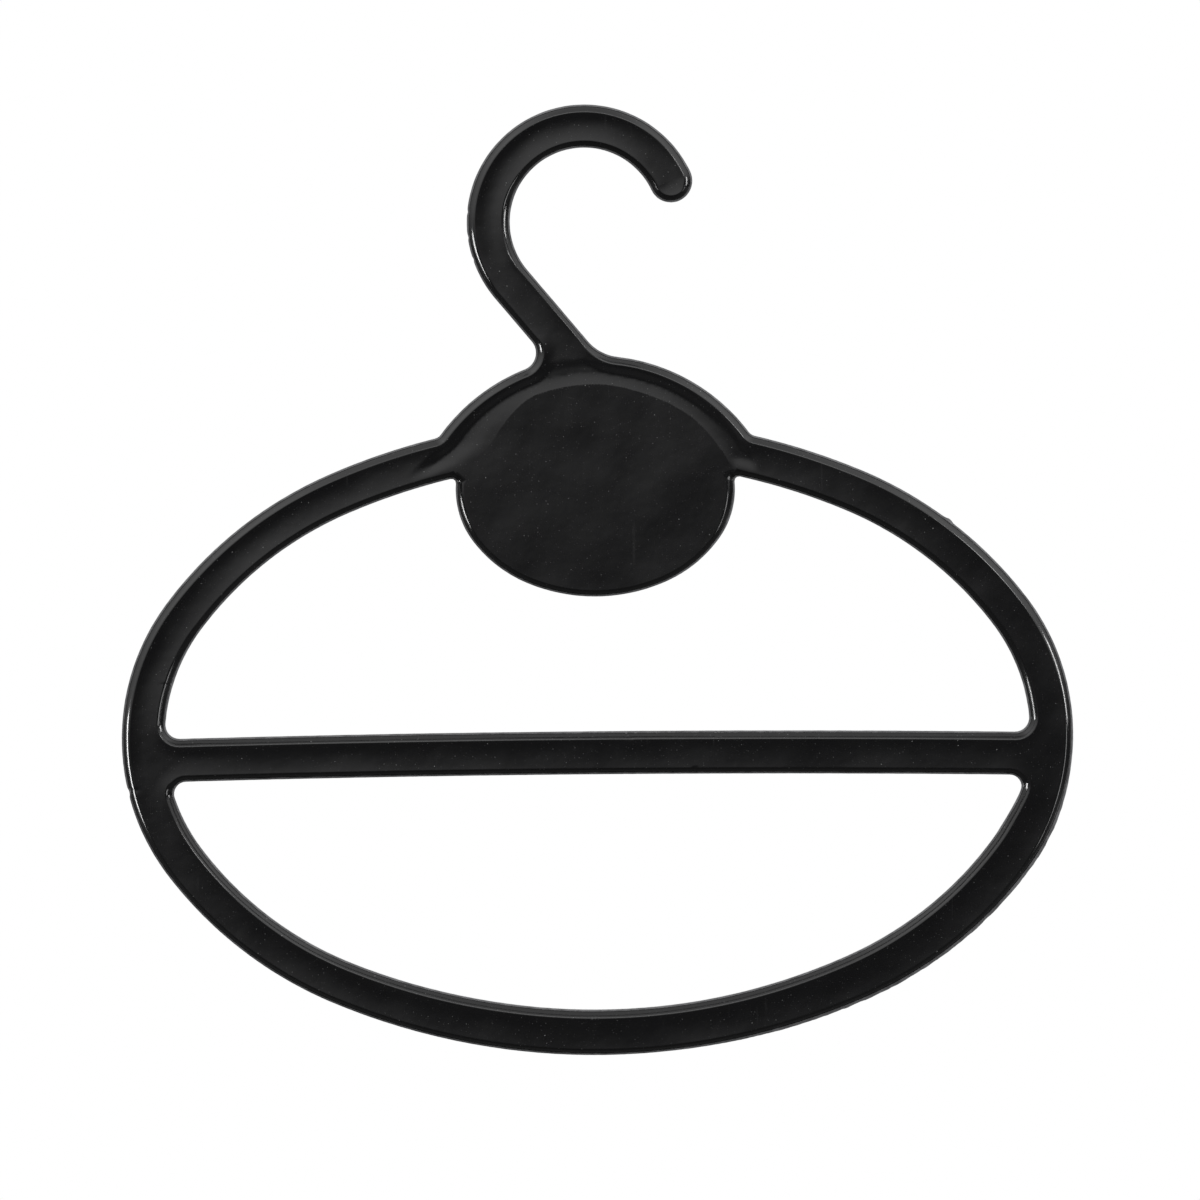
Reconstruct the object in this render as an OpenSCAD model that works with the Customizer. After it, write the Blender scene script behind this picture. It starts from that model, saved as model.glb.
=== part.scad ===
// Scarf hanger: an oval ring with a crossbar, a label plate and an open hook.
// It is one plastic moulding, drawn here as the members that it is made up of.
// Each member is its own solid, and neighbours meet face to face with one section.
//
// The plan is drawn flat, with the middle of the ring at the origin and the thickness
// along Z. The last step stands it up, with the rail's axis at the origin.

/* [Hook] */
// Radius of the rail seat inside the hook
rail_r = 18.6; // [16:0.1:22]
// Height of the rail's axis above the middle of the ring
rail_height = 128.65; // [122:0.05:140]
// How far the rail's axis lies to the left of the ring's middle
rail_offset = 2.2; // [0:0.1:6]
// Where the hook's round tip is centred, in degrees up from the horizontal
tip_angle = 24.9; // [0:0.1:50]
// Slope of the straight shank, in degrees below the horizontal
shank_slope = 50.1; // [46:0.1:60]

/* [Ring] */
// Overall width of the oval ring
ring_w = 237.8; // [225:0.2:260]
// Overall height of the oval ring
ring_h = 159.2; // [150:0.2:170]
// Radius of the ring's outer edge at its left and right ends
ring_end_r = 56.4; // [50:0.1:60]
// How far the crossbar's middle lies below the ring's middle
crossbar_drop = 5.1; // [0:0.1:12]

/* [Bar section] */
// Width of every bar, over its parting line
bar_w = 10.75; // [9:0.05:12]
// Thickness of the moulding
bar_t = 4.4; // [3.6:0.1:6]
// How far the thin land at the parting line stands out
land_w = 0.4; // [0.2:0.05:0.7]
// Thickness of the land at the parting line
land_t = 1; // [0.6:0.1:1.6]
// Width of the bevel from the land to the face
bevel_w = 1.45; // [1:0.05:1.8]
// Flat crest left between the bevel and the dished face
crest_w = 0.3; // [0.2:0.05:0.6]
// Depth of the shallow dish along the middle of each bar
dish_depth = 0.35; // [0.15:0.05:0.6]

/* [Label plate and shoulder] */
// Width of the label plate
label_w = 69.8; // [64:0.2:76]
// Height of the label plate
label_h = 53.6; // [50:0.2:56]
// Height of the label plate's middle above the ring's middle
label_height = 61.8; // [58:0.1:64]
// Width of the band between the label plate's top and the shoulder's edge
hood_w = 6.6; // [5.5:0.1:9]
// Radius of the shoulder's edge
shoulder_r = 47.9; // [45:0.1:52]
// Depth of the cove that sets the label plate off from the shoulder
cove_depth = 0.5; // [0.2:0.05:0.8]

/* [Corner radii] */
// Corners of the upper window at the crossbar
upper_corner_r = 3.6; // [2:0.1:6]
// Corners of the lower window at the crossbar
lower_corner_r = 3; // [2:0.1:6]
// Notches between the arms and the label plate
notch_r = 1.1; // [0.8:0.1:2]
// Corners between the arms and the shoulder
arm_corner_r = 2.5; // [1.5:0.1:5]
// Fillet under the leaning side of the shank
root_left_r = 4.4; // [3:0.1:7]
// Fillet on the open side of the shank
root_right_r = 11.5; // [8:0.1:15]

/* [Hidden] */
$fn = 144;

// Where the ring changes from its end arc to its side arc, and on to its top arc
turn_1 = 37;
turn_2 = 67;
// Straight run left between a fillet and the cut through the bar beside it
cut_margin = 1;
// How far a fillet sinks past its neighbours, so that it cuts them cleanly
bite = 0.03;
// How far the tools pass the faces and ends of what they cut
tool_over = 1;

half_t = bar_t / 2;
half_land = land_t / 2;
edge_w = land_w + bevel_w;
dish_w = bar_w - 2 * edge_w - 2 * crest_w;

// The cove runs from the shoulder's crest to just past the label plate's edge
cove_past = 0.8;
cove_w = hood_w - edge_w - crest_w + cove_past;

// A point at angle a and distance r
function polar(a, r) = [r * cos(a), r * sin(a)];

// Direction from p to q, in degrees
function heading(p, q) = atan2(q.y - p.y, q.x - p.x);

// The point at distance ra from a and rb from b that lies on the right of a to b
function meet(a, ra, b, rb) =
    let (d = norm(b - a), u = (b - a) / d, k = (ra * ra - rb * rb + d * d) / (2 * d))
    a + k * u + sqrt(ra * ra - k * k) * [u.y, -u.x];

// Radius of the circle through a chord's ends that is depth deep at its middle
function chord_radius(chord, depth) = (chord * chord / 4 + depth * depth) / (2 * depth);

// The three arcs of an oval's first quadrant as [centre, radius], from the end to the
// top. They meet tangentially at turn_1 and turn_2, and reach half of w and of h.
function oval_arcs(w, h, end_r) =
    let (p = polar(turn_1, 1),
         q = polar(turn_2, 1),
         ex = end_r - w / 2 - end_r * p.x,
         ey = h / 2 - end_r * p.y,
         det = (q.x - p.x) * (1 - q.y) + q.x * (q.y - p.y),
         side_r = (ex * (1 - q.y) + q.x * ey) / det,
         top_r = ((q.x - p.x) * ey - (q.y - p.y) * ex) / det,
         end_c = [w / 2 - end_r, 0],
         side_c = end_c + (end_r - side_r) * p,
         top_c = side_c + (side_r - top_r) * q)
    [[end_c, end_r], [side_c, side_r], [top_c, top_r]];

// Ring, with its arcs' centres and their radii in the middle of the bar
ring = oval_arcs(ring_w, ring_h, ring_end_r);
end_c = ring[0][0];
side_c = ring[1][0];
top_c = ring[2][0];
end_r = ring[0][1] - bar_w / 2;
side_r = ring[1][1] - bar_w / 2;
top_r = ring[2][1] - bar_w / 2;

// Window corners at the crossbar, on the right
crossbar_top = bar_w / 2 - crossbar_drop;
upper_y = crossbar_top + upper_corner_r;
lower_y = crossbar_top - bar_w - lower_corner_r;
function corner_x(y, r) = end_c.x + sqrt(pow(end_r - bar_w / 2 - r, 2) - y * y);
upper_corner = [corner_x(upper_y, upper_corner_r), upper_y];
lower_corner = [corner_x(lower_y, lower_corner_r), lower_y];
crossbar_half = min(upper_corner.x, lower_corner.x) - cut_margin;

// Label plate and shoulder
label_c = [0, label_height];
shoulder_c = [0, label_height + label_h / 2 + hood_w - shoulder_r];
arm_corner = meet(top_c, top_r + bar_w / 2 + arm_corner_r, shoulder_c, shoulder_r + arm_corner_r);
cove_r = shoulder_r - edge_w - crest_w - cove_w / 2;
cove_end = heading(shoulder_c, meet(top_c, top_r, shoulder_c, cove_r));

// The notch's fillet touches the arm's lower edge and the label plate's edge. It is found
// from the plate's round end, whose circle runs within a hair of the plate's edge there.
label_end_r = label_h * label_h / label_w / 2;
label_end_c = label_c + [label_w / 2 - label_end_r, 0];
notch = meet(top_c, top_r - bar_w / 2 - notch_r, label_end_c, label_end_r + notch_r);
notch_foot = label_end_c + polar(heading(label_end_c, notch), label_end_r);

// Hook, its shank and the fillets at its root
rail_c = [-rail_offset, rail_height];
hook_r = rail_r + bar_w / 2;
shank_dir = polar(-shank_slope, 1);
shank_right = polar(90 - shank_slope, 1);
shank_start = rail_c - hook_r * shank_right;

// How far along the shank a circle is centred that touches the shoulder from outside
// with radius r, and lies off the shank's middle line by off
function root_reach(r, off) =
    let (g = shank_start + off * shank_right - shoulder_c, k = g * shank_dir)
    -k - sqrt(k * k - g * g + pow(shoulder_r + r, 2));
function shank_point(along, off) = shank_start + along * shank_dir + off * shank_right;
left_reach = root_reach(root_left_r, -bar_w / 2 - root_left_r);
right_reach = root_reach(root_right_r, bar_w / 2 + root_right_r);
root_left = shank_point(left_reach, -bar_w / 2 - root_left_r);
root_right = shank_point(right_reach, bar_w / 2 + root_right_r);
shank_len = min(left_reach, right_reach) - cut_margin;
shank_end = root_reach(0, 0) + hood_w + bevel_w;

// Sweeps a flat profile round part of a circle about c
module sweep_arc(c, from, to) {
    translate(c)
        rotate([0, 0, from])
            rotate_extrude(angle = to - from)
                children();
}

// Sweeps a flat profile along a line, with the profile's X towards the line's left
module sweep_line(from, to) {
    translate(from)
        rotate([0, 0, heading(from, to)])
            rotate([90, 0, 90])
                linear_extrude(norm(to - from))
                    children();
}

// Half of the bar's edge, from one face down past the parting line to the other,
// with the outline at distance r from the middle
function edge_points(r, side) = [
    [side * (r - edge_w), side * half_t],
    [side * (r - land_w), side * half_land],
    [side * r, side * half_land],
    [side * r, -side * half_land],
    [side * (r - land_w), -side * half_land],
    [side * (r - edge_w), -side * half_t]
];

// Outline of every bar's section: parting land and bevels
module bar_profile() {
    polygon(concat(edge_points(bar_w / 2, 1), edge_points(bar_w / 2, -1)));
}

// Half section of a round disc with the same edge
module disc_profile(r) {
    polygon(concat([[0, half_t]], edge_points(r, 1), [[0, -half_t]]));
}

// Half section of a round hole whose wall has the same edge
module hole_profile(r) {
    over = half_t + tool_over;
    polygon([
        [0, over],
        [r + edge_w, over],
        [r + edge_w, half_t],
        [r + land_w, half_land],
        [r, half_land],
        [r, -half_land],
        [r + land_w, -half_land],
        [r + edge_w, -half_t],
        [r + edge_w, -over],
        [0, -over]
    ]);
}

// The shallow hollow that runs along both faces
module dish_profile(chord, depth) {
    r = chord_radius(chord, depth);
    for (side = [-1, 1])
        intersection() {
            translate([0, side * (half_t + r - depth)])
                circle(r);
            translate([0, side * (half_t + tool_over / 2)])
                square([chord + tool_over, tool_over + 2 * depth], center = true);
        }
}

// Section of every bar, with its dished faces
module bar_section() {
    difference() {
        bar_profile();
        dish_profile(dish_w, dish_depth);
    }
}

module bar_arc(c, r, from, to) {
    sweep_arc(c, from, to)
        translate([r, 0])
            bar_section();
}

module dish_arc(c, r, from, to, chord, depth) {
    sweep_arc(c, from, to)
        translate([r, 0])
            dish_profile(chord, depth);
}

// Fills the corner round a fillet's centre c, between the directions a and b to the two
// edges that the fillet touches
module corner_web(c, r, a, b) {
    p = polar(a, 1);
    q = polar(b, 1);
    reach = r + edge_w + crest_w;
    translate([0, 0, -half_t])
        linear_extrude(bar_t)
            polygon([c, c + reach * p, c + reach * (p + q) / (1 + p * q), c + reach * q]);
}

// Cuts a fillet's round. Where its surface starts matters where it touches an edge there.
module fillet_tool(c, r, from = 0) {
    translate(c)
        rotate([0, 0, from])
            rotate_extrude()
                hole_profile(r + bite);
}

// Moves the rail's axis to the origin and stands the plan up, front face towards -Y
module stand() {
    rotate([90, 0, 0])
        translate([rail_offset, -rail_height, 0])
            children();
}

// Drawn about the rail's axis with the shank level, and then turned to its slope
module hook() {
    tip = tip_angle + shank_slope;
    tip_dish_r = chord_radius(dish_w, dish_depth);
    color("#1b1c1e")
        rotate([90, 0, 0])
            rotate([0, 0, -shank_slope])
                difference() {
                    union() {
                        rotate_extrude(start = tip, angle = 270 - tip)
                            translate([hook_r, 0])
                                bar_profile();
                        translate(polar(tip, hook_r))
                            rotate_extrude()
                                disc_profile(bar_w / 2 + bite);
                        translate([0, -hook_r, 0])
                            rotate([90, 0, 90])
                                linear_extrude(shank_len)
                                    bar_profile();
                    }
                    rotate_extrude(start = tip, angle = 270 - tip)
                        translate([hook_r, 0])
                            dish_profile(dish_w, dish_depth);
                    for (side = [-1, 1])
                        translate(concat(polar(tip, hook_r), side * (half_t + tip_dish_r - dish_depth)))
                            sphere(tip_dish_r + bite);
                    translate([0, -hook_r, 0])
                        rotate([90, 0, 90])
                            linear_extrude(shank_len + tool_over)
                                dish_profile(dish_w, dish_depth);
                }
}

// The fillets where the shoulder meets the shank and the arms, and where the arms meet
// the label plate. Each is [centre, radius, direction to one edge, direction to the other].
head_fillets = [
    [root_left, root_left_r, 90 - shank_slope, heading(root_left, shoulder_c)],
    [root_right, root_right_r, -90 - shank_slope, heading(root_right, shoulder_c)],
    [arm_corner, arm_corner_r, heading(arm_corner, top_c), heading(arm_corner, shoulder_c)],
    [notch, notch_r, heading(top_c, notch), heading(notch, label_end_c)]
];

module label_disc() {
    translate(label_c)
        scale([1, label_h / label_w, 1])
            rotate_extrude()
                disc_profile(label_w / 2);
}

// The whole head in its full thickness: arms' roots, shoulder, label plate and shank
module head() {
    difference() {
        union() {
            sweep_arc(top_c, turn_2, 180 - turn_2)
                translate([top_r, 0])
                    bar_profile();
            difference() {
                translate(shoulder_c)
                    rotate_extrude()
                        disc_profile(shoulder_r);
                translate([top_c.x, top_c.y, -bar_t])
                    cylinder(r = top_r, h = 2 * bar_t);
            }
            label_disc();
            sweep_line(shank_point(shank_len, 0), shank_point(shank_end, 0))
                bar_profile();
            for (f = head_fillets)
                corner_web(f[0], f[1], f[2], f[3]);
            for (f = [head_fillets[2], head_fillets[3]])
                mirror([1, 0, 0])
                    corner_web(f[0], f[1], f[2], f[3]);
        }
        for (f = head_fillets)
            fillet_tool(f[0], f[1]);
        for (f = [head_fillets[2], head_fillets[3]])
            mirror([1, 0, 0])
                fillet_tool(f[0], f[1]);
    }
}

// What belongs to the label plate: the oval, and everything below the notches
module label_space() {
    below = label_h;
    translate([0, 0, -bar_t]) {
        translate(label_c)
            scale([1, label_h / label_w, 1])
                cylinder(r = label_w / 2, h = 2 * bar_t);
        translate([-label_w / 2 - tool_over, notch_foot.y - below, 0])
            cube([label_w + 2 * tool_over, below, 2 * bar_t]);
    }
}

// Hollows in the head's faces: the ends of the dishes of the arms and the shank
module arm_dish() {
    dish_arc(top_c, top_r, turn_2 - 1, heading(top_c, label_end_c + [0, label_h / 2]),
             dish_w, dish_depth);
}

module shank_dish() {
    sweep_line(shank_point(shank_len - tool_over, 0), shank_point(shank_end, 0))
        dish_profile(dish_w, dish_depth);
}

module shoulder() {
    color("#1c1d1f")
        stand()
            difference() {
                difference() {
                    head();
                    dish_arc(shoulder_c, cove_r, cove_end, 180 - cove_end, cove_w, cove_depth);
                    arm_dish();
                    mirror([1, 0, 0])
                        arm_dish();
                    shank_dish();
                }
                label_space();
            }
}

module label_plate() {
    color("#1a1b1d")
        stand()
            intersection() {
                head();
                label_space();
            }
}

module upper_arm() {
    bar_arc(side_c, side_r, turn_1, turn_2);
}

module lower_arm() {
    mirror([0, 1, 0])
        upper_arm();
}

// The ring's right end, with the crossbar's root and its two window corners
module ring_end() {
    root = [crossbar_half, -crossbar_drop];
    joint = [end_c.x + end_r, -crossbar_drop];
    corners = [
        [upper_corner, upper_corner_r, heading(end_c, upper_corner), -90],
        [lower_corner, lower_corner_r, heading(end_c, lower_corner), 90]
    ];
    difference() {
        difference() {
            difference() {
                union() {
                    sweep_arc(end_c, -turn_1, turn_1)
                        translate([end_r, 0])
                            bar_profile();
                    sweep_line(root, joint)
                        bar_profile();
                    for (f = corners)
                        corner_web(f[0], f[1], f[2], f[3]);
                }
                fillet_tool(upper_corner, upper_corner_r, 135);
                fillet_tool(lower_corner, lower_corner_r, 225);
            }
            dish_arc(end_c, end_r, -turn_1 - 1, turn_1 + 1, dish_w, dish_depth);
        }
        sweep_line(root - [tool_over, 0], joint)
            dish_profile(dish_w, dish_depth);
    }
}

module upper_left_arm() {
    color("#1b1c1e")
        stand()
            mirror([1, 0, 0])
                upper_arm();
}

module upper_right_arm() {
    color("#1b1c1e")
        stand()
            upper_arm();
}

module left_end() {
    color("#1c1d1f")
        stand()
            mirror([1, 0, 0])
                ring_end();
}

module right_end() {
    color("#1c1d1f")
        stand()
            ring_end();
}

module crossbar() {
    color("#1b1c1e")
        stand()
            sweep_line([-crossbar_half, -crossbar_drop], [crossbar_half, -crossbar_drop])
                bar_section();
}

module lower_left_arm() {
    color("#1b1c1e")
        stand()
            mirror([1, 0, 0])
                lower_arm();
}

module lower_right_arm() {
    color("#1b1c1e")
        stand()
            lower_arm();
}

module lower_bow() {
    color("#1b1c1e")
        stand()
            mirror([0, 1, 0])
                bar_arc(top_c, top_r, turn_2, 180 - turn_2);
}

hook();
shoulder();
label_plate();
upper_left_arm();
upper_right_arm();
left_end();
right_end();
crossbar();
lower_left_arm();
lower_right_arm();
lower_bow();
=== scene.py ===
"""Scarf hanger: builds the visual model over the CAD frame, with finishes, light and camera.

The moulding's plan is drawn as arcs and lines, with the middle of the ring at the origin.
One relief function of the distance to the outline shapes every member, so neighbours meet
without a visible joint. Lengths are millimetres until the mesh is made.
"""

import logging
import math
from collections.abc import Callable, Sequence
from dataclasses import dataclass, field, replace
from enum import Enum

import bpy
import numpy as np
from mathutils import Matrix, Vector
from mathutils.geometry import delaunay_2d_cdt


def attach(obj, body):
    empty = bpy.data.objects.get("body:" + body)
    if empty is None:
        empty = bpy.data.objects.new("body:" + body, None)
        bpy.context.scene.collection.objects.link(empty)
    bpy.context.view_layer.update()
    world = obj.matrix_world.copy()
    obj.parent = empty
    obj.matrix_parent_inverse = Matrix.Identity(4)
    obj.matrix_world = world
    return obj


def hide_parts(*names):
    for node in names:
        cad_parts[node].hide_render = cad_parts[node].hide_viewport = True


log = logging.getLogger("scarf_hanger")
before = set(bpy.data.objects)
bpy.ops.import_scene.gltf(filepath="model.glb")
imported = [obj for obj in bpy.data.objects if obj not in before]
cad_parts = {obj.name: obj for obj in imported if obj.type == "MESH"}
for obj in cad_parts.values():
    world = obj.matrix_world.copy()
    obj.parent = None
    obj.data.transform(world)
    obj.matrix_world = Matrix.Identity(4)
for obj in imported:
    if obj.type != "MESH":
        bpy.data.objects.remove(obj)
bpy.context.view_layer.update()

Span = tuple[float, float]
Colour = tuple[float, float, float, float]


def add(name: str, data: bpy.types.ID) -> bpy.types.Object:
    """Adds an object to the scene."""
    made = bpy.data.objects.new(name, data)
    bpy.context.scene.collection.objects.link(made)
    return made


class Edge(Enum):
    """What a stretch of a member's boundary is."""

    FREE = "free"
    JOINT = "joint"


# Plan geometry


def polar(angle: float, radius: float = 1.0) -> np.ndarray:
    """Returns the point at an angle in degrees and a radius."""
    turn = math.radians(angle)
    return np.array([math.cos(turn), math.sin(turn)]) * radius


def heading(start: np.ndarray, end: np.ndarray) -> float:
    """Returns the direction from start to end in degrees."""
    return math.degrees(math.atan2(end[1] - start[1], end[0] - start[0]))


def unit(v: np.ndarray) -> np.ndarray:
    """Returns each row of an array scaled to length 1, or zero where it has no length."""
    return v / np.maximum(np.linalg.norm(v, axis=-1), 1e-9)[..., None]


def meet(a: np.ndarray, ra: float, b: np.ndarray, rb: float) -> np.ndarray:
    """Returns the point ra from a and rb from b, on the right of the way from a to b."""
    d = float(np.linalg.norm(b - a))
    u = (b - a) / d
    k = (ra * ra - rb * rb + d * d) / (2 * d)
    return a + k * u + math.sqrt(ra * ra - k * k) * np.array([u[1], -u[0]])


@dataclass(frozen=True)
class Curve:
    """A stretch of a member's boundary, walked with the material on its left."""

    edge: Edge = field(default=Edge.FREE, kw_only=True)

    def length(self) -> float:
        """Returns the length along the boundary."""
        raise NotImplementedError

    def points(self, inset: float, step: float) -> np.ndarray:
        """Returns points along the curve, moved into the material by inset."""
        raise NotImplementedError

    def distance(self, xy: np.ndarray) -> np.ndarray:
        """Returns how far each point lies from the curve."""
        raise NotImplementedError

    def rise(self, xy: np.ndarray) -> np.ndarray:
        """Returns how far the way from each point to the curve points up, from -1 to 1."""
        raise NotImplementedError

    def count(self, step: float) -> int:
        """Returns how many points a walk along the curve takes."""
        return max(2, math.ceil(self.length() / step) + 1)


@dataclass(frozen=True)
class Arc(Curve):
    """Part of a circle: convex if it turns left from start to end, and hollow if right."""

    centre: tuple[float, float]
    radius: float
    start: float
    end: float

    def length(self) -> float:
        return abs(math.radians(self.end - self.start)) * self.radius

    def points(self, inset: float, step: float) -> np.ndarray:
        r = self.radius - inset if self.end > self.start else self.radius + inset
        turn = np.radians(np.linspace(self.start, self.end, self.count(step)))
        return np.array(self.centre) + r * np.stack([np.cos(turn), np.sin(turn)], axis=1)

    def distance(self, xy: np.ndarray) -> np.ndarray:
        low, high = sorted((self.start, self.end))
        v = xy - np.array(self.centre)
        turn = (np.degrees(np.arctan2(v[:, 1], v[:, 0])) - low) % 360.0
        on = turn <= high - low + 1e-9
        ends = [np.array(self.centre) + polar(a, self.radius) for a in (self.start, self.end)]
        far = np.minimum(*(np.hypot(*(xy - e).T) for e in ends))
        return np.where(on, np.abs(np.hypot(v[:, 0], v[:, 1]) - self.radius), far)

    def rise(self, xy: np.ndarray) -> np.ndarray:
        v = xy - np.array(self.centre)
        up = v[:, 1] / np.maximum(np.hypot(v[:, 0], v[:, 1]), 1e-9)
        return up if self.end > self.start else -up


@dataclass(frozen=True)
class Line(Curve):
    """A straight stretch from start to end."""

    start: tuple[float, float]
    end: tuple[float, float]

    def length(self) -> float:
        return math.dist(self.start, self.end)

    def points(self, inset: float, step: float) -> np.ndarray:
        p, q = np.array(self.start), np.array(self.end)
        u = (q - p) / self.length()
        t = np.linspace(0.0, 1.0, self.count(step))[:, None]
        return p + (q - p) * t + inset * np.array([-u[1], u[0]])

    def distance(self, xy: np.ndarray) -> np.ndarray:
        p, q = np.array(self.start), np.array(self.end)
        u = (q - p) / self.length()
        along = np.clip((xy - p) @ u, 0.0, self.length())
        return np.hypot(*(xy - p - along[:, None] * u).T)

    def rise(self, xy: np.ndarray) -> np.ndarray:
        return np.full(len(xy), (self.start[0] - self.end[0]) / self.length())


def arc(centre: np.ndarray, radius: float, start: float, end: float, edge: Edge = Edge.FREE) -> Arc:
    """Makes an arc from a centre given as an array."""
    return Arc((float(centre[0]), float(centre[1])), radius, start, end, edge=edge)


def line(start: Sequence[float], end: Sequence[float], edge: Edge = Edge.FREE) -> Line:
    """Makes a line between two points."""
    return Line((float(start[0]), float(start[1])), (float(end[0]), float(end[1])), edge=edge)


def cut(centre: np.ndarray, turn: float, start: float, end: float) -> Line:
    """Makes the joint across a bar of the ring, at an angle and between two radii."""
    return line(centre + polar(turn, start), centre + polar(turn, end), Edge.JOINT)


def hollow(centre: np.ndarray, radius: float, start: float, end: float) -> Arc:
    """Makes a fillet, which turns right from start to end."""
    return arc(centre, radius, start, start - (start - end) % 360.0)


def flipped(curves: list[Curve], over_x: bool) -> list[Curve]:
    """Mirrors a walk left to right, or top to bottom, and keeps the material on its left."""
    made: list[Curve] = []
    sx, sy, turn = (-1, 1, 180.0) if over_x else (1, -1, 0.0)
    for c in reversed(curves):
        if isinstance(c, Arc):
            centre = (sx * c.centre[0], sy * c.centre[1])
            made.append(replace(c, centre=centre, start=turn - c.end, end=turn - c.start))
        elif isinstance(c, Line):
            start, end = (sx * c.end[0], sy * c.end[1]), (sx * c.start[0], sy * c.start[1])
            made.append(replace(c, start=start, end=end))
    return made


# Sizes


@dataclass(frozen=True)
class Bar:
    """Section of every bar of the moulding."""

    width: float = 10.75
    thickness: float = 4.4
    land_width: float = 0.5
    land_thickness: float = 1.0
    bevel_width: float = 1.35
    crest_width: float = 0.3
    dish_depth: float = 0.35
    cove_depth: float = 0.35

    @property
    def edge(self) -> float:
        """Distance from the outline to the top of the bevel."""
        return self.land_width + self.bevel_width

    @property
    def crest(self) -> float:
        """Distance from the outline to the line of the crest."""
        return self.edge + self.crest_width / 2


@dataclass(frozen=True)
class Oval:
    """An oval of tangent arcs, which change at the two turns of each quarter."""

    width: float
    height: float
    end_radius: float
    turn_1: float = 37.0
    turn_2: float = 67.0

    def arcs(self) -> list[tuple[np.ndarray, float]]:
        """Returns centre and radius of the end, side and top arc of the first quarter."""
        p, q = polar(self.turn_1), polar(self.turn_2)
        ex = self.end_radius - self.width / 2 - self.end_radius * p[0]
        ey = self.height / 2 - self.end_radius * p[1]
        det = (q[0] - p[0]) * (1 - q[1]) + q[0] * (q[1] - p[1])
        side = (ex * (1 - q[1]) + q[0] * ey) / det
        top = ((q[0] - p[0]) * ey - (q[1] - p[1]) * ex) / det
        end_c = np.array([self.width / 2 - self.end_radius, 0.0])
        side_c = end_c + (self.end_radius - side) * p
        return [(end_c, self.end_radius), (side_c, side), (side_c + (side - top) * q, top)]


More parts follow.
